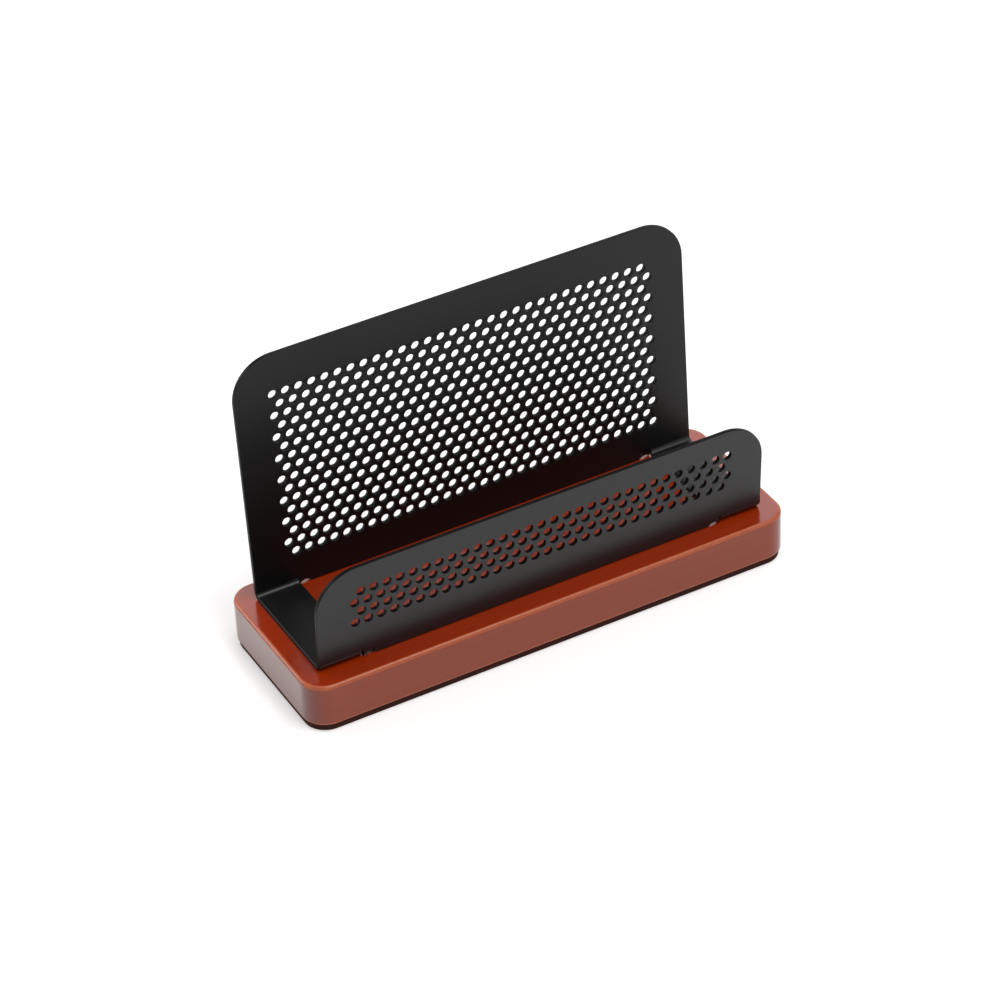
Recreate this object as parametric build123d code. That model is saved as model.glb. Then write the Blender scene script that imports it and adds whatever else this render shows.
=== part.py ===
from build123d import *
import math
import os

# A desk stand for business cards: a punched and bent steel tray on a lacquered wood block with a soft pad.
# X runs along the block, Y to the back and Z up. The origin is under the middle of the pad.

# Bent sheet of the tray: its depth is measured over the outer faces at the wood
sheet = 1.0
bend_radius = 1.0
tray_width = 106.0
tray_depth = 29.5
tab_width = 10.0
back_height = 57.0
front_height = 24.0
panel_lean = 3.0
panel_corner_radius = 9.4
foot_clearance = 0.05
slot_width = 0.15
relief_radius = 1.8
relief_inset = 1.35
relief_drop = 1.1

# Punched holes: staggered rows that fill each panel inside these margins, counted down from the top one.
# Each small round hole is drawn with a few straight sides that leave the same open area.
hole_diameter = 2.0
hole_pitch = 3.0
row_angle = 60.0
hole_sides = 4
side_margin = 8.5
foot_margin = 8.0
back_top_margin = 9.5
front_top_margin = 6.4

# Wood block: a ledge all round the foot of the tray
end_ledge = 4.5
long_ledge = 5.25
base_height = 10.0
base_corner_radius = 5.5
base_top_ease = 0.4
base_bottom_ease = 0.5

# Pad under the block
pad_thickness = 1.5
pad_inset = 0.5

# Welded stud under the middle of each tab, with a washer and a nut in a counterbore of the block.
# The pad hides them, so they and their holes are drawn with few sides too.
stud_diameter = 3.0
stud_hole_clearance = 0.2
stud_end_room = 1.6
stud_past_nut = 0.3
washer_diameter = 7.0
washer_thickness = 0.5
washer_clearance = 0.1
washer_room = 0.7
nut_width = 5.5
nut_height = 2.4
nut_clearance = 0.05
fixing_sides = 12

# Cuts run past the faces that they open by this much
overrun = 1.0

BACK = 1
FRONT = -1
LEFT = -1
RIGHT = 1
base_length = tray_width + 2 * end_ledge
base_depth = tray_depth + 2 * long_ledge
wood_top = pad_thickness + base_height
lean = math.radians(panel_lean)
bend_outer_radius = bend_radius + sheet
bend_run = bend_outer_radius * math.tan((math.pi / 2 - lean) / 2)
bend_top = bend_run + sheet
tab_inner = tray_width / 2 - tab_width
lip_end = tab_inner - slot_width
row_pitch = hole_pitch * math.sin(math.radians(row_angle))
counterbore_depth = washer_thickness + nut_height + stud_past_nut + stud_end_room
stud_length = base_height - stud_end_room


def few_sided(diameter, sides):
    """Regular face with few sides and the area of a round one."""
    turn = 2 * math.pi / sides
    radius = diameter / 2 * math.sqrt(turn / math.sin(turn))
    return RegularPolygon(radius, sides, rotation=math.degrees(turn / 2))


def rounded_block(length, depth, height, radius):
    """Upright block with round vertical corners, standing on z = 0."""
    return extrude(RectangleRounded(length, depth, radius), height)


def panel_plane(side):
    """Plane of a panel's outer face: x along the panel, y up it, origin at its foot on the wood."""
    return Plane(
        origin=(0, side * tray_depth / 2, wood_top),
        x_dir=(1, 0, 0),
        z_dir=(0, -math.cos(lean), side * math.sin(lean)),
    )


def hole_places(height, top_margin, side):
    """Centres of the staggered rows; the back's top row sits to the left, the front's to the right."""
    stagger = hole_pitch / 2
    columns = 1 + math.floor((tray_width - 2 * side_margin - stagger) / hole_pitch)
    rows = 1 + math.floor((height - top_margin - foot_margin) / row_pitch)
    places = []
    for row in range(rows):
        shift = side * stagger / 2 * (-1 if row % 2 == 0 else 1)
        for column in range(columns):
            across = (column - (columns - 1) / 2) * hole_pitch + shift
            places.append((across, height - top_margin - row * row_pitch))
    return places


def relief(end):
    """Round mouth of the slot beside a bend, in the panel's plane, with its centre below the foot."""
    return Pos(end * (lip_end - relief_inset), -relief_drop) * Circle(relief_radius)


def punched_panel(side, height, top_margin):
    """Flat punched panel with round top corners, raised and slotted at the tabs to meet the bends."""
    half = tray_width / 2
    outline = make_face(
        Polyline(
            (-half, bend_top),
            (-half, height),
            (half, height),
            (half, bend_top),
            (tab_inner, bend_top),
            (tab_inner, bend_run),
            (lip_end, bend_run),
            (lip_end, foot_clearance),
            (-lip_end, foot_clearance),
            (-lip_end, bend_run),
            (-tab_inner, bend_run),
            (-tab_inner, bend_top),
            close=True,
        )
    )
    outline = fillet(outline.vertices().group_by(Axis.Y)[-1], panel_corner_radius)
    outline -= [relief(LEFT), relief(RIGHT)]
    hole = few_sided(hole_diameter, hole_sides).face().outer_wire()
    places = hole_places(height, top_margin, side)
    face = outline.face().make_holes([Pos(*place) * hole for place in places])
    return extrude(panel_plane(side) * face, side * sheet)


def tab_strip(end):
    """Floor tab at one end with the bend and a short leg up to each panel."""
    foot = tray_depth / 2
    reach = bend_top * math.sin(lean)
    rise = bend_top * math.cos(lean)
    outer = FilletPolyline(
        (-foot - reach, wood_top + rise),
        (-foot, wood_top),
        (foot, wood_top),
        (foot + reach, wood_top + rise),
        radius=bend_outer_radius,
    )
    section = make_face(offset(outer, sheet, side=Side.LEFT))
    start = tab_inner if end == RIGHT else -tray_width / 2
    return extrude(Plane.YZ.offset(start) * section, tab_width)


def punched_tray():
    """One sheet: two punched panels joined by a bent tab at each end, with an open floor between the tabs."""
    back = punched_panel(BACK, back_height, back_top_margin)
    front = punched_panel(FRONT, front_height, front_top_margin)
    return back + [front, tab_strip(LEFT), tab_strip(RIGHT)]


def stud_places():
    """Names and distances along the block of the two studs, each under the middle of its tab."""
    across = (tray_width - tab_width) / 2
    return {"left": LEFT * across, "right": RIGHT * across}


def wood_base():
    """Lacquered block with eased edges and a stepped hole for each stud."""
    block = Pos(0, 0, pad_thickness) * rounded_block(base_length, base_depth, base_height, base_corner_radius)
    block = chamfer(block.faces().sort_by(Axis.Z)[-1].edges(), base_top_ease)
    block = chamfer(block.faces().sort_by(Axis.Z)[0].edges(), base_bottom_ease)
    bore = extrude(few_sided(stud_diameter + 2 * stud_hole_clearance, fixing_sides), base_height + overrun)
    well = extrude(few_sided(washer_diameter + 2 * washer_room, fixing_sides), counterbore_depth + overrun)
    for x in stud_places().values():
        block -= [Pos(x, 0, pad_thickness) * bore, Pos(x, 0, pad_thickness - overrun) * well]
    return block


def base_pad():
    """Soft pad a little smaller than the block, with the same round corners."""
    return rounded_block(
        base_length - 2 * pad_inset,
        base_depth - 2 * pad_inset,
        pad_thickness,
        base_corner_radius - pad_inset,
    )


def ring(outer, bore_diameter, height):
    """Plate of the given face and height under z = 0, with a bore for the stud."""
    return extrude(outer - few_sided(bore_diameter, fixing_sides), -height)


def build():
    """All pieces by node name."""
    shelf = pad_thickness + counterbore_depth
    stud = extrude(few_sided(stud_diameter, fixing_sides), -stud_length)
    washer_bore = stud_diameter + 2 * washer_clearance
    washer = ring(few_sided(washer_diameter, fixing_sides), washer_bore, washer_thickness)
    nut_face = RegularPolygon(nut_width / 2, 6, major_radius=False)
    nut = ring(nut_face, stud_diameter + 2 * nut_clearance, nut_height)
    pieces = {"base_pad": base_pad(), "wood_base": wood_base(), "punched_tray": punched_tray()}
    for name, x in stud_places().items():
        pieces[f"tray_stud_{name}"] = Pos(x, 0, wood_top) * stud
        pieces[f"stud_washer_{name}"] = Pos(x, 0, shelf) * washer
        pieces[f"stud_nut_{name}"] = Pos(x, 0, shelf - washer_thickness) * nut
    return pieces


os.makedirs("parts", exist_ok=True)
for node, piece in build().items():
    piece.label = node
    export_step(piece, f"parts/{node}.step")
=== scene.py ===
"""Looks of a business card stand: a punched steel tray on a lacquered wood block with a foam pad.

The tray is drawn as a flat blank, punched, and folded up at two bends, as a press shop would make it.
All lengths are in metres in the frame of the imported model: X along the block, Y to the back, Z up.
"""

from __future__ import annotations

import logging
import math
from dataclasses import dataclass, field
from enum import Enum

import bmesh
import bpy
from mathutils import Matrix, Quaternion, Vector

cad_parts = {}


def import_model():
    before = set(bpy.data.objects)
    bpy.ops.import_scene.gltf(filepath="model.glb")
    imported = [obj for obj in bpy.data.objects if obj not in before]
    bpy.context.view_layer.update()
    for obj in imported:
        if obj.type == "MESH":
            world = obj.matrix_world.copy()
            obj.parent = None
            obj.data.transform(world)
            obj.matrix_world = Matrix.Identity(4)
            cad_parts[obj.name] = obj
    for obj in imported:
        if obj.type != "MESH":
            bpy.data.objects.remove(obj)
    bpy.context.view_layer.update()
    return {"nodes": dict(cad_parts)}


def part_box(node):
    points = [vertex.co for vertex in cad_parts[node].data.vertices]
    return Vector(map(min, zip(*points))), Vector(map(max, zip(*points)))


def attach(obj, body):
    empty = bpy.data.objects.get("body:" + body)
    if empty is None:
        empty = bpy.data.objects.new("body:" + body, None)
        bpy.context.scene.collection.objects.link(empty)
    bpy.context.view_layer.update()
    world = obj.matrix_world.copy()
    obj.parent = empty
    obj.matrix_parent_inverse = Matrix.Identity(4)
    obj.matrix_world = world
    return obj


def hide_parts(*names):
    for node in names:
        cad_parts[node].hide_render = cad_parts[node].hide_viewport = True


LOG = logging.getLogger("card_stand")
MM = 0.001
NEAR = 0.001 * MM
UP = (0.0, 0.0, 1.0)
BODY = "root"
Color = tuple[float, float, float]
Point = tuple[float, float, float]
Edges = list[bmesh.types.BMEdge]


class Side(Enum):
    """The two upright panels of the tray, by the sign of their side along Y."""

    BACK = 1
    FRONT = -1


class End(Enum):
    """The two ends of the stand, by the sign of their side along X."""

    LEFT = -1
    RIGHT = 1


class CoatSlot(Enum):
    """Material slots of the tray's sheet."""

    OUTSIDE = 0
    INSIDE = 1
    EDGES = 2


class Affect(Enum):
    """What a rounding works on, by Blender's names."""

    EDGES = "EDGES"
    CORNERS = "VERTICES"


class NodeBoard:
    """A node tree with short calls to add nodes, set their values and join them."""

    def __init__(self, tree: bpy.types.NodeTree) -> None:
        """Keeps the tree and clears it."""
        self.tree = tree
        tree.nodes.clear()

    def add(self, kind: str, **values: object) -> bpy.types.Node:
        """Adds a node.

        Args:
            kind: Blender's type name of the node.
            values: Properties of the node by their Python names.

        Returns:
            The new node.
        """
        node = self.tree.nodes.new(kind)
        for name, value in values.items():
            setattr(node, name, value)
        return node

    def join(self, value: object, socket: bpy.types.NodeSocket) -> None:
        """Links an output to an input, or sets the input to a plain value.

        Args:
            value: The output or the value.
            socket: The input.
        """
        if isinstance(value, bpy.types.NodeSocket):
            self.tree.links.new(value, socket)
        else:
            socket.default_value = value

    def feed(self, node: bpy.types.Node, *first: object, **inputs: object) -> bpy.types.Node:
        """Sets or links a node's inputs.

        Args:
            node: The node to feed.
            first: Values or sockets for the node's first inputs, in order.
            inputs: Values or sockets by input name, with spaces written as underscores.

        Returns:
            The same node.
        """
        for socket, value in zip(node.inputs, first):
            self.join(value, socket)
        for name, value in inputs.items():
            self.join(value, node.inputs[name.replace("_", " ")])
        return node

    def group(self, tree: bpy.types.NodeTree, **inputs: object) -> bpy.types.NodeSocket:
        """Places a node group with its own values and gives its one output."""
        return self.feed(self.add("ShaderNodeGroup", node_tree=tree), **inputs).outputs[0]

    def spread(self, value: bpy.types.NodeSocket, low: float, high: float) -> bpy.types.NodeSocket:
        """Maps a 0 to 1 value to the range from low to high."""
        node = self.feed(self.add("ShaderNodeMapRange"), Value=value, To_Min=low, To_Max=high)
        return node.outputs["Result"]

    def mix(self, factor: bpy.types.NodeSocket, first: object, second: Color) -> bpy.types.NodeSocket:
        """Blends two colours.

        Args:
            factor: Share of the second colour, from 0 to 1.
            first: A colour or a socket.
            second: A colour.

        Returns:
            The socket of the blend.
        """
        node = self.add("ShaderNodeMix", data_type="RGBA")
        sockets = {socket.identifier: socket for socket in (*node.inputs, *node.outputs)}
        self.join(factor, sockets["Factor_Float"])
        self.join(first if isinstance(first, bpy.types.NodeSocket) else (*first, 1.0), sockets["A_Color"])
        self.join((*second, 1.0), sockets["B_Color"])
        return sockets["Result_Color"]

    def math(self, operation: str, first: object, second: object) -> bpy.types.NodeSocket:
        """Works out one value from two by Blender's name of the operation."""
        return self.feed(self.add("ShaderNodeMath", operation=operation), first, second).outputs["Value"]

    def times(self, first: object, second: object) -> bpy.types.NodeSocket:
        """Multiplies two values."""
        return self.math("MULTIPLY", first, second)

    def plus(self, first: object, second: object) -> bpy.types.NodeSocket:
        """Adds two values."""
        return self.math("ADD", first, second)

    def facing(self) -> list[bpy.types.NodeSocket]:
        """Reads which way the piece's surface faces.

        Returns:
            The squares of its normal along X, Y and Z, each from 0 to 1.
        """
        normal = self.add("ShaderNodeTexCoord").outputs["Normal"]
        parts = self.feed(self.add("ShaderNodeSeparateXYZ"), Vector=normal)
        return [self.times(part, part) for part in parts.outputs]


class Effects:
    """Node groups that more than one finish uses, each built once."""

    speck_detail: float = 3.0

    def __init__(self) -> None:
        """Builds the groups."""
        self.grain = self.build_grain()
        self.specks = self.build_specks()

    @staticmethod
    def new_group(name: str, inputs: tuple[str, ...], output: str) -> tuple[NodeBoard, bpy.types.Node]:
        """Makes an empty shader node group with float sockets.

        Args:
            name: Name of the group.
            inputs: Names of its inputs.
            output: Name of its output.

        Returns:
            The group's board and its input node.
        """
        tree = bpy.data.node_groups.new(name, "ShaderNodeTree")
        for label in inputs:
            tree.interface.new_socket(name=label, in_out="INPUT", socket_type="NodeSocketFloat")
        tree.interface.new_socket(name=output, in_out="OUTPUT", socket_type="NodeSocketFloat")
        board = NodeBoard(tree)
        return board, board.add("NodeGroupInput")

    @staticmethod
    def noise(board: NodeBoard, given: bpy.types.Node, detail: object) -> bpy.types.NodeSocket:
        """Adds a noise on the piece, stretched along X.

        Args:
            board: Board of the group.
            given: The group's input node, with Scale and Stretch.
            detail: Detail of the noise, as a number or a socket.

        Returns:
            The socket of the noise.
        """
        squeeze = board.math("DIVIDE", 1.0, given.outputs["Stretch"])
        scale = board.feed(board.add("ShaderNodeCombineXYZ"), X=squeeze, Y=1.0, Z=1.0)
        mapping = board.feed(
            board.add("ShaderNodeMapping"),
            Vector=board.add("ShaderNodeTexCoord").outputs["Object"],
            Scale=scale.outputs["Vector"],
        )
        noise = board.feed(
            board.add("ShaderNodeTexNoise"),
            Vector=mapping.outputs["Vector"],
            Scale=given.outputs["Scale"],
            Detail=detail,
        )
        return noise.outputs["Fac"]

    def build_grain(self) -> bpy.types.NodeTree:
        """Makes an even fine noise.

        Returns:
            The group's tree.
        """
        board, given = self.new_group("surface_grain", ("Scale", "Detail", "Stretch"), "Value")
        board.feed(board.add("NodeGroupOutput"), Value=self.noise(board, given, given.outputs["Detail"]))
        return board.tree

    def build_specks(self) -> bpy.types.NodeTree:
        """Makes sparse small marks: the rare peaks of a noise, as a 0 to 1 mask.

        Returns:
            The group's tree.
        """
        board, given = self.new_group("sparse_marks", ("Scale", "Rarity", "Stretch"), "Mask")
        peak = board.feed(
            board.add("ShaderNodeMapRange"),
            Value=self.noise(board, given, self.speck_detail),
            From_Min=given.outputs["Rarity"],
            From_Max=1.0,
        )
        board.feed(board.add("NodeGroupOutput"), Mask=peak.outputs["Result"])
        return board.tree


@dataclass(frozen=True)
class Grain:
    """An even noise on a piece: its scale, its detail and how far it is stretched along X."""

    scale: float
    detail: float
    stretch: float = 1.0

    def lay(self, board: NodeBoard, effects: Effects) -> bpy.types.NodeSocket:
        """Places the shared grain with these values."""
        return board.group(effects.grain, Scale=self.scale, Detail=self.detail, Stretch=self.stretch)


@dataclass(frozen=True)
class Specks:
    """Sparse marks on a piece: their scale, how rare they are and how far they are stretched along X."""

    scale: float
    rarity: float
    stretch: float = 1.0

    def lay(self, board: NodeBoard, effects: Effects) -> bpy.types.NodeSocket:
        """Places the shared marks with these values."""
        return board.group(effects.specks, Scale=self.scale, Rarity=self.rarity, Stretch=self.stretch)


@dataclass(frozen=True)
class SurfaceRelief:
    """Fine relief of a surface: how deep it is and how strongly it shows."""

    depth: float
    strength: float

    def lay(self, board: NodeBoard, height: bpy.types.NodeSocket) -> bpy.types.NodeSocket:
        """Turns a 0 to 1 height into the normal of the surface."""
        bump = board.add("ShaderNodeBump")
        return board.feed(bump, Strength=self.strength, Distance=self.depth, Height=height).outputs["Normal"]


def new_material(name: str) -> tuple[bpy.types.Material, NodeBoard, bpy.types.Node]:
    """Makes an empty material.

    Args:
        name: Name of the material.

    Returns:
        The material, its board and its output node.
    """
    material = bpy.data.materials.new(name)
    material.use_nodes = True
    board = NodeBoard(material.node_tree)
    return material, board, board.add("ShaderNodeOutputMaterial")


def new_finish(name: str) -> tuple[bpy.types.Material, NodeBoard, bpy.types.Node]:
    """Makes a material with one Principled shader.

    Args:
        name: Name of the material.

    Returns:
        The material, its board and its shader.
    """
    material, board, out = new_material(name)
    shader = board.add("ShaderNodeBsdfPrincipled")
    board.feed(out, Surface=shader.outputs["BSDF"])
    return material, board, shader


@dataclass(frozen=True)
class PowderCoat:
    """Satin black powder coat with a faint orange peel and a few pale scuffs."""

    name: str
    index: float
    smooth: float
    dull: float
    color: Color = (0.0026, 0.0024, 0.0024)
    scuffed: Color = (0.08, 0.08, 0.08)
    scuffs: Specks = Specks(scale=420.0, rarity=0.72, stretch=2.5)
    cloud: Grain = Grain(scale=70.0, detail=3.0)
    peel: Grain = Grain(scale=2600.0, detail=2.0)
    relief: SurfaceRelief = SurfaceRelief(depth=0.02 * MM, strength=0.25)

    def material(self, effects: Effects) -> bpy.types.Material:
        """Builds the material.

        Args:
            effects: The shared node groups.

        Returns:
            The material.
        """
        material, board, shader = new_finish(self.name)
        board.feed(
            shader,
            Base_Color=board.mix(self.scuffs.lay(board, effects), self.color, self.scuffed),
            Roughness=board.spread(self.cloud.lay(board, effects), self.smooth, self.dull),
            IOR=self.index,
            Normal=self.relief.lay(board, self.peel.lay(board, effects)),
        )
        return material


@dataclass(frozen=True)
class TrayCoats:
    """The tray's coat: the full coat outside, and copies that reflect less on the inside and on the cut
    edges, as painted shade.
    """

    outside: PowderCoat = PowderCoat("satin_black_coat", index=1.5, smooth=0.33, dull=0.39)
    # Lower index than outside: a dimmer reflection on the back panel and the tab, painted shade
    inside: PowderCoat = PowderCoat("shaded_inside_coat", index=1.38, smooth=0.34, dull=0.41)
    # Lowest index: darker rims and hole walls, painted shade
    edges: PowderCoat = PowderCoat("shaded_edge_coat", index=1.16, smooth=0.30, dull=0.38)

    def materials(self, effects: Effects) -> list[bpy.types.Material]:
        """Builds the three finishes in the order of the sheet's material slots."""
        coats = {CoatSlot.OUTSIDE: self.outside, CoatSlot.INSIDE: self.inside, CoatSlot.EDGES: self.edges}
        return [coats[slot].material(effects) for slot in CoatSlot]


@dataclass(frozen=True)
class LacqueredWood:
    """Red-brown stained wood under glossy lacquer, paler along its eased edges: partly rubbed wear, partly a
    painted highlight.
    """

    name: str = "lacquered_red_wood"
    dark: Color = (0.255, 0.0175, 0.0003)
    light: Color = (0.330, 0.0265, 0.0006)
    streaks: Grain = Grain(scale=900.0, detail=4.0, stretch=22.0)
    pore: Color = (0.170, 0.0070, 0.0004)
    pores: Specks = Specks(scale=1900.0, rarity=0.62, stretch=18.0)
    pore_tint: float = 0.5
    # Paler, pinker tint of the faces along Y, laid on more over the dark streaks: painted sheen
    side_sheen_tint: Color = (0.285, 0.0480, 0.0170)
    sheen_on_dark: float = 1.3
    sheen_on_light: float = 0.5
    end_grain: Color = (0.130, 0.0200, 0.0080)
    # Paler colour of the eased edges: rubbed wear, and a painted highlight along them
    rub_and_highlight: Color = (0.50, 0.110, 0.026)
    wear: Specks = Specks(scale=520.0, rarity=0.35)
    least_edge_highlight: float = 0.45
    rub_and_highlight_haze: float = 0.3
    top_build: float = 0.4
    # Lacquer on the end faces is heavier, which paints a brighter reflection there
    end_reflection_coat: float = 0.6
    edge_build: float = 0.3
    build_haze: float = 0.2
    gloss: float = 0.12
    soft_gloss: float = 0.17
    index: float = 1.45
    cloud: Grain = Grain(scale=60.0, detail=2.0, stretch=4.0)
    ripple: SurfaceRelief = SurfaceRelief(depth=0.02 * MM, strength=0.12)

    def material(self, effects: Effects) -> bpy.types.Material:
        """Builds the material, with its colour and lacquer set by the way each face points: a darker end
        grain on the ends, a painted sheen on the faces along Y, and a painted reflection in the heavier
        lacquer of the ends.

        Args:
            effects: The shared node groups.

        Returns:
            The material.
        """
        material, board, shader = new_finish(self.name)
        end, side, top = board.facing()
        edge = board.add("ShaderNodeAttribute", attribute_name="edge").outputs["Fac"]
        # Every eased face takes the paler colour, more where the wear noise peaks: rubbed wear plus a
        # painted highlight
        rub_and_highlight_mask = board.times(edge, board.spread(self.wear.lay(board, effects), self.least_edge_highlight, 1.0))
        streaks = self.streaks.lay(board, effects)
        tone = board.mix(streaks, self.dark, self.light)
        veined = board.mix(board.times(self.pores.lay(board, effects), self.pore_tint), tone, self.pore)
        # The faces along Y take the painted sheen tint; the end faces take the darker end grain colour
        side_sheen_share = board.times(side, board.spread(streaks, self.sheen_on_dark, self.sheen_on_light))
        tone_with_sheen = board.mix(end, board.mix(side_sheen_share, veined, self.side_sheen_tint), self.end_grain)
        # Lacquer by face direction: the heavier coat on the ends is painted reflection
        build = board.plus(board.times(top, self.top_build), board.times(end, self.end_reflection_coat))
        cloud = self.cloud.lay(board, effects)
        gloss = board.spread(cloud, self.gloss, self.soft_gloss)
        board.feed(
            shader,
            Base_Color=board.mix(rub_and_highlight_mask, tone_with_sheen, self.rub_and_highlight),
            Coat_Weight=board.times(build, board.spread(edge, 1.0, self.edge_build)),
            Coat_Roughness=self.build_haze,
            Roughness=board.plus(board.times(rub_and_highlight_mask, self.rub_and_highlight_haze), gloss),
            IOR=self.index,
            Normal=self.ripple.lay(board, cloud),
        )
        return material


@dataclass(frozen=True)
class FoamRubber:
    """Matt dark brown foam rubber with fine pores."""

    name: str = "brown_foam_rubber"
    color: Color = (0.030, 0.0085, 0.0055)
    worn: Color = (0.055, 0.0170, 0.0110)
    cloud: Grain = Grain(scale=160.0, detail=3.0)
    pores: Grain = Grain(scale=3200.0, detail=3.0)
    relief: SurfaceRelief = SurfaceRelief(depth=0.12 * MM, strength=0.6)
    smooth: float = 0.8
    dull: float = 0.95
    specular: float = 0.15

    def material(self, effects: Effects) -> bpy.types.Material:
        """Builds the material.

        Args:
            effects: The shared node groups.

        Returns:
            The material.
        """
        material, board, shader = new_finish(self.name)
        pores = self.pores.lay(board, effects)
        board.feed(
            shader,
            Base_Color=board.mix(self.cloud.lay(board, effects), self.color, self.worn),
            Roughness=board.spread(pores, self.smooth, self.dull),
            Specular_IOR_Level=self.specular,
            Normal=self.relief.lay(board, pores),
        )
        return material


@dataclass(frozen=True)
class ZincSteel:
    """Zinc-plated steel of the hidden fixings, with fine turning marks."""

    name: str = "zinc_steel"
    bright: Color = (0.62, 0.62, 0.60)
    dim: Color = (0.42, 0.42, 0.41)
    cloud: Grain = Grain(scale=420.0, detail=3.0)
    marks: Grain = Grain(scale=5200.0, detail=2.0, stretch=6.0)
    relief: SurfaceRelief = SurfaceRelief(depth=0.02 * MM, strength=0.2)
    smooth: float = 0.28
    dull: float = 0.42

    def material(self, effects: Effects) -> bpy.types.Material:
        """Builds the material.

        Args:
            effects: The shared node groups.

        Returns:
            The material.
        """
        material, board, shader = new_finish(self.name)
        marks = self.marks.lay(board, effects)
        board.feed(
            shader,
            Base_Color=board.mix(self.cloud.lay(board, effects), self.bright, self.dim),
            Metallic=1.0,
            Roughness=board.spread(marks, self.smooth, self.dull),
            Normal=self.relief.lay(board, marks),
        )
        return material


@dataclass(frozen=True)
class Rounding:
    """A rounded edge or corner: its radius and the steps across it."""

    radius: float
    steps: int

    def cut(
        self,
        bm: bmesh.types.BMesh,
        geom: Edges | list[bmesh.types.BMVert],
        affect: Affect,
    ) -> list[bmesh.types.BMFace]:
        """Rounds edges or corners of a mesh.

        Args:
            bm: The mesh.
            geom: The edges, or the vertices at the corners.
            affect: Which of the two they are.

        Returns:
            The new faces.
        """
        made = bmesh.ops.bevel(
            bm,
            geom=geom,
            offset=self.radius,
            offset_type="OFFSET",
            segments=self.steps,
            profile=0.5,
            affect=affect.value,
            material=-1,
        )
        return made["faces"]


def level_circle(bm: bmesh.types.BMesh, centre: Point, radius: float, steps: int) -> Edges:
    """Draws a level circle.

    Args:
        bm: The mesh to add to.
        centre: Middle of the circle.
        radius: Its radius.
        steps: Number of its edges.

    Returns:
        Its edges.
    """
    place = Matrix.Translation(centre)
    made = bmesh.ops.create_circle(bm, cap_ends=False, segments=steps, radius=radius, matrix=place)
    return list(dict.fromkeys(e for v in made["verts"] for e in v.link_edges))


def fill_level(bm: bmesh.types.BMesh, edges: Edges) -> None:
    """Fills a level outline with faces and leaves the loops inside it open."""
    bmesh.ops.triangle_fill(bm, use_beauty=True, use_dissolve=False, edges=edges, normal=UP)


def make_object(bm: bmesh.types.BMesh, name: str, materials: list[bpy.types.Material]) -> bpy.types.Object:
    """Turns a finished bmesh into a smooth-shaded object at the origin.

    Args:
        bm: The mesh, which is freed.
        name: Name of the object.
        materials: Its material slots in order.

    Returns:
        The new object, linked to the scene.
    """
    mesh = bpy.data.meshes.new(name)
    bm.to_mesh(mesh)
    bm.free()
    mesh.shade_smooth()
    for material in materials:
        mesh.materials.append(material)
    made = bpy.data.objects.new(name, mesh)
    bpy.context.scene.collection.objects.link(made)
    return made


def keep_flats(piece: bpy.types.Object) -> None:
    """Keeps the wide faces flat beside smooth-shaded edges."""
    normals = piece.modifiers.new("flat_faces", "WEIGHTED_NORMAL")
    normals.keep_sharp = True


def place_on_frame(piece: bpy.types.Object, node: str) -> None:
    """Puts a piece in the place of its CAD node.

    Args:
        piece: The new piece.
        node: The CAD node that it stands for.
    """
    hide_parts(node)
    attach(piece, BODY)


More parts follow.
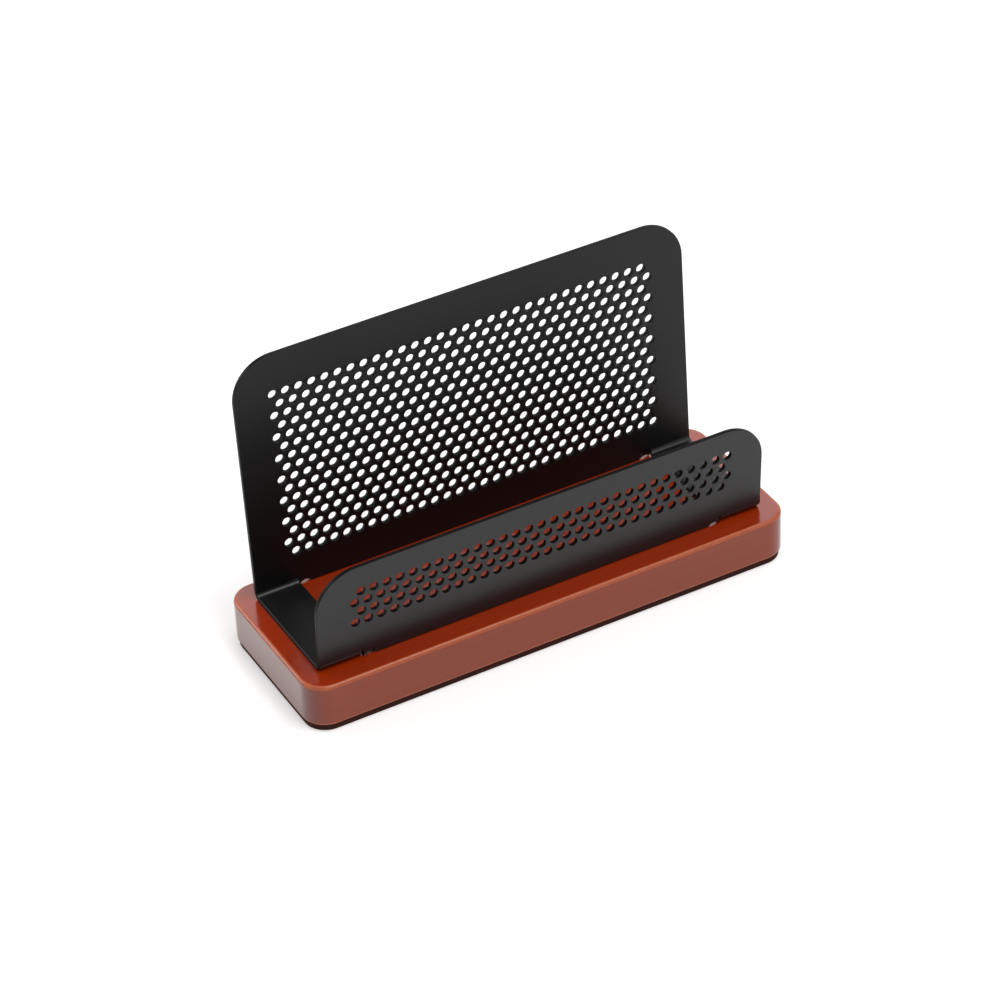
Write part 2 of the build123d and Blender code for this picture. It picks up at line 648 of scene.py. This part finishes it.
@dataclass
class PunchedTray:
    """One sheet, punched flat and folded up at two bends, with an open floor between two end tabs."""

    # Bent sheet, with its depth over the outer faces at the wood
    wood_top: float
    width: float
    depth: float
    back_height: float
    front_height: float = 24.0 * MM
    sheet: float = 1.0 * MM
    bend_radius: float = 1.0 * MM
    bend_steps: int = 12
    lean: float = math.radians(3.0)
    tab_width: float = 10.0 * MM
    corner: Rounding = Rounding(9.4 * MM, steps=14)
    # Open floor, with a slot and its round mouth beside each bend
    foot_clearance: float = 0.05 * MM
    slot_width: float = 0.15 * MM
    relief_radius: float = 1.8 * MM
    relief_inset: float = 1.35 * MM
    relief_drop: float = 1.1 * MM
    relief_steps: int = 20
    # Staggered rows of holes inside the margins of each panel
    hole_radius: float = 1.0 * MM
    hole_pitch: float = 3.0 * MM
    hole_steps: int = 16
    row_angle: float = math.radians(60.0)
    side_margin: float = 8.5 * MM
    foot_margin: float = 8.0 * MM
    back_top_margin: float = 9.5 * MM
    front_top_margin: float = 6.4 * MM
    # Eased cut edges, the flat strip beside each bend, and how near a crease takes in a point
    edge: Rounding = Rounding(0.15 * MM, steps=2)
    edge_angle: float = math.radians(40.0)
    settle: float = 0.6 * MM
    snap: float = 0.01 * MM

    @classmethod
    def from_frame(cls) -> PunchedTray:
        """Takes the tray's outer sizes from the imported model.

        Returns:
            The tray, ready to build.
        """
        low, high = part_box("punched_tray")
        wood_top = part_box("wood_base")[1].z
        rise = high.z - wood_top - cls.sheet * math.sin(cls.lean)
        back_height = rise / math.cos(cls.lean)
        depth = 2 * (high.y - back_height * math.sin(cls.lean))
        return cls(wood_top, high.x - low.x, depth, back_height)

    @property
    def fold(self) -> float:
        """Angle of each bend."""
        return math.pi / 2 - self.lean

    @property
    def bend_run(self) -> float:
        """Length that each bend takes from the floor and from the panel, over the outer faces."""
        return (self.bend_radius + self.sheet) * math.tan(self.fold / 2)

    @property
    def bend_start(self) -> float:
        """Distance of each bend from the middle of the blank."""
        return self.depth / 2 - self.bend_run

    @property
    def bend_length(self) -> float:
        """Length of the middle of the sheet round each bend."""
        return (self.bend_radius + self.sheet / 2) * self.fold

    @property
    def bend_end(self) -> float:
        """Distance of each bend's far side from the middle of the blank."""
        return self.bend_start + self.bend_length

    @property
    def tab_inner(self) -> float:
        """Distance of the tabs' inner edges from the middle."""
        return self.width / 2 - self.tab_width

    @property
    def lip_end(self) -> float:
        """Distance of the panels' feet from the middle, up to the slots beside the bends."""
        return self.tab_inner - self.slot_width

    def on_blank(self, height: float) -> float:
        """Distance from the middle of the blank to a height up a panel."""
        return self.bend_end + height - self.bend_run

    def draw_blank(self, bm: bmesh.types.BMesh) -> None:
        """Draws the blank's outline, a rectangle with round corners.

        Args:
            bm: The empty blank.
        """
        front = -self.on_blank(self.front_height)
        back = self.on_blank(self.back_height)
        # A unit square, scaled to the blank
        points = bmesh.ops.create_grid(bm, x_segments=1, y_segments=1, size=0.5)["verts"]
        bmesh.ops.scale(bm, vec=(self.width, back - front, 1.0), verts=points)
        bmesh.ops.translate(bm, vec=(0.0, (back + front) / 2, 0.0), verts=points)
        self.corner.cut(bm, points, Affect.CORNERS)
        bmesh.ops.delete(bm, geom=bm.faces[:], context="FACES_ONLY")

    def draw_holes(self, bm: bmesh.types.BMesh, side: Side, height: float, top_margin: float) -> None:
        """Draws the staggered rows of holes of one panel.

        Args:
            bm: The blank.
            side: The panel.
            height: The panel's height.
            top_margin: Distance of the first row from the panel's top.
        """
        stagger = self.hole_pitch / 2
        row_pitch = self.hole_pitch * math.sin(self.row_angle)
        columns = 1 + math.floor((self.width - 2 * self.side_margin - stagger) / self.hole_pitch)
        rows = 1 + math.floor((height - top_margin - self.foot_margin) / row_pitch)
        for row in range(rows):
            shift = side.value * stagger / 2 * (-1 if row % 2 == 0 else 1)
            along = side.value * self.on_blank(height - top_margin - row * row_pitch)
            for column in range(columns):
                across = (column - (columns - 1) / 2) * self.hole_pitch + shift
                level_circle(bm, (across, along, 0.0), self.hole_radius, self.hole_steps)

    def draw_slot(
        self, bm: bmesh.types.BMesh, end: End, side: Side
    ) -> tuple[bmesh.types.BMVert, bmesh.types.BMVert]:
        """Draws the narrow slot beside one bend, which opens into a round mouth at the panel's foot.

        Args:
            bm: The blank.
            end: The end of the bend's tab.
            side: The bend's panel.

        Returns:
            The slot's corner at the tab, and the point where its mouth meets the foot.
        """
        across = self.lip_end - self.relief_inset
        along = self.on_blank(-self.relief_drop)
        mouth_rise = math.sqrt(self.relief_radius**2 - self.relief_inset**2)
        first = math.atan2(mouth_rise, self.relief_inset)
        last = math.pi - math.asin((self.relief_drop + self.foot_clearance) / self.relief_radius)
        corner = bm.verts.new((end.value * self.tab_inner, side.value * self.bend_end, 0.0))
        top = bm.verts.new((end.value * self.lip_end, side.value * self.bend_end, 0.0))
        mouth = bm.verts.new((end.value * self.lip_end, side.value * (along + mouth_rise), 0.0))
        bm.edges.new((corner, top))
        bm.edges.new((top, mouth))
        swept = bmesh.ops.spin(
            bm,
            geom=[mouth],
            cent=(end.value * across, side.value * along, 0.0),
            axis=UP,
            angle=end.value * side.value * (last - first),
            steps=self.relief_steps,
        )
        foot = next(v for v in swept["geom_last"] if isinstance(v, bmesh.types.BMVert))
        return corner, foot

    def draw_window(self, bm: bmesh.types.BMesh) -> None:
        """Draws the open floor between the tabs, with a slot beside each bend.

        Args:
            bm: The blank.
        """
        corners: dict[tuple[End, Side], bmesh.types.BMVert] = {}
        feet: dict[tuple[End, Side], bmesh.types.BMVert] = {}
        for end in End:
            for side in Side:
                corners[end, side], feet[end, side] = self.draw_slot(bm, end, side)
        for end in End:
            bm.edges.new((corners[end, Side.BACK], corners[end, Side.FRONT]))
        for side in Side:
            bm.edges.new((feet[End.LEFT, side], feet[End.RIGHT, side]))

    def crease(self, bm: bmesh.types.BMesh, faces: list[bmesh.types.BMFace], along: float) -> None:
        """Cuts faces along a line across the blank.

        Args:
            bm: The blank.
            faces: The faces to cut.
            along: Place of the line along Y.
        """
        edges = dict.fromkeys(e for f in faces for e in f.edges)
        verts = dict.fromkeys(v for f in faces for v in f.verts)
        bmesh.ops.bisect_plane(
            bm,
            geom=[*verts, *edges, *faces],
            dist=self.snap,
            plane_co=(0.0, along, 0.0),
            plane_no=(0.0, 1.0, 0.0),
        )

    def bend(self, bm: bmesh.types.BMesh, side: Side) -> None:
        """Creases the blank across one bend and folds the panel up, a small turn at each crease.

        Args:
            bm: The filled blank.
            side: The panel to fold.
        """
        for along in (self.bend_start - self.settle, self.bend_end, self.bend_end + self.settle):
            self.crease(bm, bm.faces[:], side.value * along)
        pitch = self.bend_length / self.bend_steps
        creases = [self.bend_start + pitch * index for index in range(self.bend_steps + 1)]
        for along in creases[:-1]:
            tabs = [f for f in bm.faces if abs(f.calc_center_median().x) > self.tab_inner]
            self.crease(bm, tabs, side.value * along)
        inner = self.tab_inner - NEAR
        places = {v: side.value * v.co.y for v in bm.verts}
        lip = {v for v, place in places.items() if abs(v.co.x) < inner and place > self.bend_start}
        step = self.fold / self.bend_steps
        for index, crease in reversed(list(enumerate(creases))):
            # The first and last creases turn by half a step, so that the bend keeps to its arc
            share = 0.5 if index in (0, self.bend_steps) else 1.0
            bmesh.ops.rotate(
                bm,
                cent=(0.0, side.value * crease, 0.0),
                matrix=Matrix.Rotation(side.value * step * share, 3, "X"),
                verts=[v for v, place in places.items() if place > crease + NEAR or v in lip],
            )

    def thicken(self, piece: bpy.types.Object) -> None:
        """Gives the folded sheet its thickness and eases its cut edges.

        Args:
            piece: The folded sheet.
        """
        wall = piece.modifiers.new("sheet", "SOLIDIFY")
        wall.material_offset = CoatSlot.INSIDE.value
        wall.material_offset_rim = CoatSlot.EDGES.value
        wall.thickness = self.sheet
        wall.offset = 0.0
        wall.use_even_offset = True
        edges = piece.modifiers.new("edges", "BEVEL")
        edges.width = self.edge.radius
        edges.segments = self.edge.steps
        edges.limit_method = "ANGLE"
        edges.angle_limit = self.edge_angle
        edges.use_clamp_overlap = False
        keep_flats(piece)

    def build(self, coats: TrayCoats, effects: Effects) -> bpy.types.Object:
        """Punches, folds and thickens the sheet.

        Args:
            coats: Finishes of the sheet's sides and edges.
            effects: The shared node groups.

        Returns:
            The finished piece.
        """
        bm = bmesh.new()
        self.draw_blank(bm)
        self.draw_holes(bm, Side.BACK, self.back_height, self.back_top_margin)
        self.draw_holes(bm, Side.FRONT, self.front_height, self.front_top_margin)
        self.draw_window(bm)
        fill_level(bm, bm.edges[:])
        for side in Side:
            self.bend(bm, side)
        bmesh.ops.translate(bm, vec=(0.0, 0.0, self.wood_top + self.sheet / 2), verts=bm.verts[:])
        bmesh.ops.recalc_face_normals(bm, faces=bm.faces[:])
        piece = make_object(bm, "punched_tray_sheet", coats.materials(effects))
        self.thicken(piece)
        place_on_frame(piece, "punched_tray")
        return piece


def rounded_block(
    low: Vector, high: Vector, corner: Rounding, top: Rounding, bottom: Rounding
) -> bmesh.types.BMesh:
    """Makes an upright block with round corners and eased edges, and marks the eased faces.

    Args:
        low: Lowest corner.
        high: Highest corner.
        corner: Rounding of the upright corners.
        top: Ease round the top face.
        bottom: Ease round the bottom face.

    Returns:
        The mesh, with a face attribute named edge that is 1 on the eases.
    """
    bm = bmesh.new()
    edge_mark = bm.faces.layers.float.new("edge")
    bmesh.ops.create_cube(bm, size=1.0)
    bmesh.ops.scale(bm, vec=high - low, verts=bm.verts[:])
    bmesh.ops.translate(bm, vec=(high + low) / 2, verts=bm.verts[:])
    upright = [e for e in bm.edges if abs(e.verts[0].co.z - e.verts[1].co.z) > (high.z - low.z) / 2]
    corner.cut(bm, upright, Affect.EDGES)
    for height, ease in ((high.z, top), (low.z, bottom)):
        rim = [e for e in bm.edges if all(abs(v.co.z - height) < NEAR for v in e.verts)]
        for face in ease.cut(bm, rim, Affect.EDGES):
            face[edge_mark] = 1.0
    return bm


def open_cap(bm: bmesh.types.BMesh, height: float, holes: Edges) -> None:
    """Replaces the flat cap at a height by one with holes.

    Args:
        bm: The block.
        height: Height of the cap.
        holes: Edges of the holes in that cap.
    """
    cap = [f for f in bm.faces if all(abs(v.co.z - height) < NEAR for v in f.verts)]
    rim = list(dict.fromkeys(e for f in cap for e in f.edges))
    bmesh.ops.delete(bm, geom=cap, context="FACES_ONLY")
    fill_level(bm, rim + holes)


@dataclass
class WoodBlock:
    """Lacquered block with eased edges and a stepped hole under each tab."""

    low: Vector
    high: Vector
    stud_places: list[float]
    shelf: float
    corner: Rounding = Rounding(5.5 * MM, steps=12)
    top_ease: Rounding = Rounding(0.75 * MM, steps=4)
    bottom_ease: Rounding = Rounding(0.6 * MM, steps=4)
    bore_radius: float = 1.7 * MM
    well_radius: float = 4.2 * MM
    bore_steps: int = 32
    sharp_angle: float = math.radians(40.0)

    @classmethod
    def from_frame(cls) -> WoodBlock:
        """Takes the block's box and the fixings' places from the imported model.

        Returns:
            The block, ready to build.
        """
        low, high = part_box("wood_base")
        studs = [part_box(f"tray_stud_{end.name.lower()}") for end in End]
        places = [(a.x + b.x) / 2 for a, b in studs]
        return cls(low, high, places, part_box("stud_washer_left")[1].z)

    def bore(self, bm: bmesh.types.BMesh, x: float) -> tuple[Edges, Edges]:
        """Adds the walls of a stepped hole.

        Args:
            bm: The block.
            x: Place of the stud's axis.

        Returns:
            The edges of the hole's mouth in the top and of its well in the bottom.
        """
        mouth = level_circle(bm, (x, 0.0, self.high.z), self.bore_radius, self.bore_steps)
        throat = level_circle(bm, (x, 0.0, self.shelf), self.bore_radius, self.bore_steps)
        shelf = level_circle(bm, (x, 0.0, self.shelf), self.well_radius, self.bore_steps)
        well = level_circle(bm, (x, 0.0, self.low.z), self.well_radius, self.bore_steps)
        bmesh.ops.bridge_loops(bm, edges=mouth + throat)
        bmesh.ops.bridge_loops(bm, edges=shelf + well)
        fill_level(bm, throat + shelf)
        return mouth, well

    def build(self, wood: bpy.types.Material) -> bpy.types.Object:
        """Shapes the block and bores it.

        Args:
            wood: The block's finish.

        Returns:
            The finished piece.
        """
        bm = rounded_block(self.low, self.high, self.corner, self.top_ease, self.bottom_ease)
        mouths: Edges = []
        wells: Edges = []
        for x in self.stud_places:
            mouth, well = self.bore(bm, x)
            mouths += mouth
            wells += well
        open_cap(bm, self.high.z, mouths)
        open_cap(bm, self.low.z, wells)
        bmesh.ops.recalc_face_normals(bm, faces=bm.faces[:])
        piece = make_object(bm, "wood_block", [wood])
        piece.data.set_sharp_from_angle(angle=self.sharp_angle)
        keep_flats(piece)
        place_on_frame(piece, "wood_base")
        return piece


@dataclass
class FootPad:
    """Foam pad under the block, with soft round edges."""

    low: Vector
    high: Vector
    corner: Rounding = Rounding(5.0 * MM, steps=12)
    edge: Rounding = Rounding(0.12 * MM, steps=3)

    @classmethod
    def from_frame(cls) -> FootPad:
        """Takes the pad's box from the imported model."""
        return cls(*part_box("base_pad"))

    def build(self, foam: bpy.types.Material) -> bpy.types.Object:
        """Shapes the pad.

        Args:
            foam: The pad's finish.

        Returns:
            The finished piece.
        """
        bm = rounded_block(self.low, self.high, self.corner, self.edge, self.edge)
        piece = make_object(bm, "foam_pad", [foam])
        keep_flats(piece)
        place_on_frame(piece, "base_pad")
        return piece


def spun(outline: list[tuple[float, float]], steps: int) -> bmesh.types.BMesh:
    """Turns an outline round the Z axis.

    Args:
        outline: Radius and height of each point, in order.
        steps: Steps of the full turn.

    Returns:
        The closed mesh.
    """
    bm = bmesh.new()
    points = [bm.verts.new((radius, 0.0, height)) for radius, height in outline]
    edges = [bm.edges.new(pair) for pair in zip(points, points[1:])]
    bmesh.ops.spin(
        bm,
        geom=points + edges,
        cent=(0.0, 0.0, 0.0),
        axis=UP,
        angle=2 * math.pi,
        steps=steps,
        use_merge=True,
    )
    bmesh.ops.remove_doubles(bm, verts=bm.verts[:], dist=NEAR)
    bmesh.ops.recalc_face_normals(bm, faces=bm.faces[:])
    return bm


@dataclass
class StudFixing:
    """Threaded stud under one tab, with the washer and the nut that hold the tray to the block."""

    end: End
    stud_radius: float = 1.45 * MM
    thread_depth: float = 0.25 * MM
    thread_pitch: float = 0.5 * MM
    plain_length: float = 1.0 * MM
    tip_chamfer: float = 0.3 * MM
    washer_gap: float = 0.24 * MM
    washer_ease: float = 0.12 * MM
    nut_gap: float = 0.06 * MM
    nut_sides: int = 6
    nut_chamfer: Rounding = Rounding(0.35 * MM, steps=1)
    turn_steps: int = 32
    sharp_angle: float = math.radians(30.0)

    @property
    def label(self) -> str:
        """End of the stand in lower case, as the CAD nodes write it."""
        return self.end.name.lower()

    def finish(self, bm: bmesh.types.BMesh, kind: str, steel: bpy.types.Material) -> bpy.types.Object:
        """Moves a piece to the stud's axis and puts it in its node's place.

        Args:
            bm: The piece, made round the Z axis.
            kind: Name of the CAD node without its end.
            steel: The finish.

        Returns:
            The finished piece.
        """
        low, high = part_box(f"tray_stud_{self.label}")
        centre = (low + high) / 2
        bmesh.ops.translate(bm, vec=(centre.x, centre.y, 0.0), verts=bm.verts[:])
        piece = make_object(bm, f"{kind}_{self.label}_steel", [steel])
        piece.data.set_sharp_from_angle(angle=self.sharp_angle)
        place_on_frame(piece, f"{kind}_{self.label}")
        return piece

    def build_stud(self) -> bmesh.types.BMesh:
        """Turns the stud with its thread rings.

        Returns:
            The mesh round the Z axis.
        """
        low, high = (corner.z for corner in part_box(f"tray_stud_{self.label}"))
        core = self.stud_radius - self.thread_depth
        height = high - self.plain_length
        outline = [(0.0, high), (self.stud_radius, high), (self.stud_radius, height)]
        while height - self.thread_pitch > low + self.tip_chamfer:
            outline.append((core, height - self.thread_pitch / 2))
            outline.append((self.stud_radius, height - self.thread_pitch))
            height -= self.thread_pitch
        outline += [(core, low + self.tip_chamfer / 2), (core - self.tip_chamfer, low), (0.0, low)]
        return spun(outline, self.turn_steps)

    def build_washer(self) -> bmesh.types.BMesh:
        """Turns the washer with eased edges.

        Returns:
            The mesh round the Z axis.
        """
        low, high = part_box(f"stud_washer_{self.label}")
        outer = (high.x - low.x) / 2
        inner = self.stud_radius + self.washer_gap
        outline = [
            (inner, low.z),
            (outer - self.washer_ease, low.z),
            (outer, low.z + self.washer_ease),
            (outer, high.z - self.washer_ease),
            (outer - self.washer_ease, high.z),
            (inner, high.z),
            (inner, low.z),
        ]
        return spun(outline, self.turn_steps)

    def build_nut(self) -> bmesh.types.BMesh:
        """Raises the hexagon, bores it and chamfers its corners.

        Returns:
            The mesh round the Z axis.
        """
        low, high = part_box(f"stud_nut_{self.label}")
        corner = (high.x - low.x) / 2
        bore = self.stud_radius + self.nut_gap
        bm = bmesh.new()
        outer: Edges = []
        inner: Edges = []
        for height in (low.z, high.z):
            hexagon = level_circle(bm, (0.0, 0.0, height), corner, self.nut_sides)
            mouth = level_circle(bm, (0.0, 0.0, height), bore, self.turn_steps)
            fill_level(bm, hexagon + mouth)
            outer += hexagon
            inner += mouth
        bmesh.ops.bridge_loops(bm, edges=outer)
        bmesh.ops.bridge_loops(bm, edges=inner)
        bmesh.ops.recalc_face_normals(bm, faces=bm.faces[:])
        corners = [v for v in bm.verts if v.co.xy.length > (corner + bore) / 2]
        self.nut_chamfer.cut(bm, corners, Affect.CORNERS)
        return bm

    def build(self, steel: bpy.types.Material) -> list[bpy.types.Object]:
        """Builds the stud, its washer and its nut.

        Args:
            steel: Their finish.

        Returns:
            The finished pieces.
        """
        meshes = {
            "tray_stud": self.build_stud(),
            "stud_washer": self.build_washer(),
            "stud_nut": self.build_nut(),
        }
        return [self.finish(bm, kind, steel) for kind, bm in meshes.items()]


def direction(azimuth: float, elevation: float) -> Vector:
    """Gives a direction from the object, with azimuth 0 at the front and growing to the right.

    Args:
        azimuth: Angle round the object in degrees.
        elevation: Angle above the floor in degrees.

    Returns:
        A vector of length 1.
    """
    turn = math.radians(azimuth)
    rise = math.radians(elevation)
    return Vector((math.sin(turn) * math.cos(rise), -math.cos(turn) * math.cos(rise), math.sin(rise)))


@dataclass(frozen=True)
class StudioLamp:
    """A square soft light, placed round the object by its direction."""

    name: str
    azimuth: float
    elevation: float
    distance: float
    size: float
    power: float

    def build(self, target: Vector) -> None:
        """Hangs the light so that it faces the target.

        Args:
            target: The point that it faces.
        """
        data = bpy.data.lights.new(self.name, "AREA")
        data.shape = "SQUARE"
        data.size = self.size
        data.energy = self.power
        lamp = bpy.data.objects.new(self.name, data)
        away = direction(self.azimuth, self.elevation)
        lamp.location = target + away * self.distance
        lamp.rotation_euler = away.to_track_quat("Z", "Y").to_euler()
        bpy.context.scene.collection.objects.link(lamp)


@dataclass
class Studio:
    """Pale floor, soft light and the camera at the photograph's viewing angle."""

    # Floor, which lifts towards white with the distance from the object
    floor_half: float = 3.0
    floor_gap: float = 0.02 * MM
    rest_reach: float = 0.1 * MM
    floor_color: Color = (0.82, 0.82, 0.82)
    floor_lift: float = 0.33
    far_lift: float = 0.65
    lift_near: float = 0.3
    lift_far: float = 1.5
    # Light
    ambient: float = 0.52
    lamps: tuple[StudioLamp, ...] = (
        StudioLamp("overhead", azimuth=32.0, elevation=72.0, distance=1.0, size=0.5, power=5.0),
        StudioLamp("back_left", azimuth=-140.0, elevation=24.0, distance=1.0, size=0.45, power=2.7),
        StudioLamp("back_right", azimuth=152.0, elevation=36.0, distance=1.1, size=0.7, power=1.2),
    )
    # Camera, with its angles in degrees
    aim: Vector = field(default_factory=lambda: Vector((4.17, 11.48, 16.39)) * MM)
    azimuth: float = -27.849
    elevation: float = 36.444
    roll: float = -2.593
    distance: float = 814.59 * MM
    lens: float = 137.61
    sensor: float = 36.0
    clip_near: float = 0.01
    clip_far: float = 50.0

    @staticmethod
    def seen(board: NodeBoard) -> bpy.types.NodeSocket:
        """Joins Light Path's camera, glossy and transmission rays.

        Args:
            board: Board of the floor or the world.

        Returns:
            The socket of a value that is 1 for these rays and 0 for others.
        """
        path = board.add("ShaderNodeLightPath")
        total = path.outputs["Is Camera Ray"]
        for name in ("Is Glossy Ray", "Is Transmission Ray"):
            total = board.math("MAXIMUM", total, path.outputs[name])
        return total

    def floor_material(self) -> bpy.types.Material:
        """Builds a pale finish that keeps shadows, and is clear from below and to what rests on it.

        Returns:
            The material.
        """
        material, board, out = new_material("pale_floor")
        diffuse = board.feed(board.add("ShaderNodeBsdfDiffuse"), Color=(*self.floor_color, 1.0))
        place = board.add("ShaderNodeTexCoord").outputs["Object"]
        away = board.feed(board.add("ShaderNodeVectorMath", operation="LENGTH"), place)
        lift = board.feed(
            board.add("ShaderNodeMapRange"),
            Value=away.outputs["Value"],
            From_Min=self.lift_near,
            From_Max=self.lift_far,
            To_Min=self.floor_lift,
            To_Max=self.far_lift,
        )
        strength = board.times(self.seen(board), lift.outputs["Result"])
        glow = board.feed(board.add("ShaderNodeEmission"), Strength=strength).outputs["Emission"]
        pale = board.feed(board.add("ShaderNodeAddShader"), diffuse.outputs["BSDF"], glow)
        length = board.add("ShaderNodeLightPath").outputs["Ray Length"]
        resting = board.math("LESS_THAN", length, self.rest_reach)
        below = board.add("ShaderNodeNewGeometry").outputs["Backfacing"]
        clear = board.add("ShaderNodeBsdfTransparent").outputs["BSDF"]
        hidden = board.math("MAXIMUM", below, resting)
        floor = board.feed(board.add("ShaderNodeMixShader"), hidden, pale.outputs["Shader"], clear)
        board.feed(out, Surface=floor.outputs["Shader"])
        return material

    def build_floor(self) -> None:
        """Lays the floor just below the object."""
        bm = bmesh.new()
        bmesh.ops.create_grid(bm, x_segments=1, y_segments=1, size=self.floor_half)
        bmesh.ops.translate(bm, vec=(0.0, 0.0, -self.floor_gap), verts=bm.verts[:])
        make_object(bm, "floor", [self.floor_material()])

    def build_world(self) -> None:
        """Surrounds the stand with an even pale light that shows as white."""
        world = bpy.data.worlds.new("studio_world")
        world.use_nodes = True
        board = NodeBoard(world.node_tree)
        strength = board.spread(self.seen(board), self.ambient, 1.0)
        white = (1.0, 1.0, 1.0, 1.0)
        background = board.feed(board.add("ShaderNodeBackground"), Color=white, Strength=strength)
        board.feed(board.add("ShaderNodeOutputWorld"), Surface=background.outputs["Background"])
        bpy.context.scene.world = world

    def build_camera(self) -> None:
        """Sets the camera where the photograph was taken from."""
        data = bpy.data.cameras.new("camera")
        data.sensor_width = self.sensor
        data.lens = self.lens
        data.clip_start = self.clip_near
        data.clip_end = self.clip_far
        camera = bpy.data.objects.new("camera", data)
        away = direction(self.azimuth, self.elevation)
        camera.location = self.aim + away * self.distance
        camera.rotation_mode = "QUATERNION"
        level = away.to_track_quat("Z", "Y")
        camera.rotation_quaternion = level @ Quaternion(UP, math.radians(self.roll))
        bpy.context.scene.collection.objects.link(camera)
        bpy.context.scene.camera = camera

    def build(self) -> None:
        """Builds the floor, the world, the lamps and the camera."""
        self.build_floor()
        self.build_world()
        for lamp in self.lamps:
            lamp.build(self.aim)
        self.build_camera()
        bpy.context.scene.view_settings.view_transform = "Standard"


def main() -> None:
    """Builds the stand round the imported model, then the studio, and reports each piece."""
    logging.basicConfig(level=logging.INFO, format="%(name)s: %(message)s")
    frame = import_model()
    LOG.info("packed model has %d nodes", len(frame["nodes"]))
    effects = Effects()
    pieces = [
        PunchedTray.from_frame().build(TrayCoats(), effects),
        WoodBlock.from_frame().build(LacqueredWood().material(effects)),
        FootPad.from_frame().build(FoamRubber().material(effects)),
    ]
    steel = ZincSteel().material(effects)
    for end in End:
        pieces += StudFixing(end).build(steel)
    for piece in pieces:
        LOG.info("%s is in place, with %d faces", piece.name, len(piece.data.polygons))
    Studio().build()


if __name__ == "__main__":
    main()
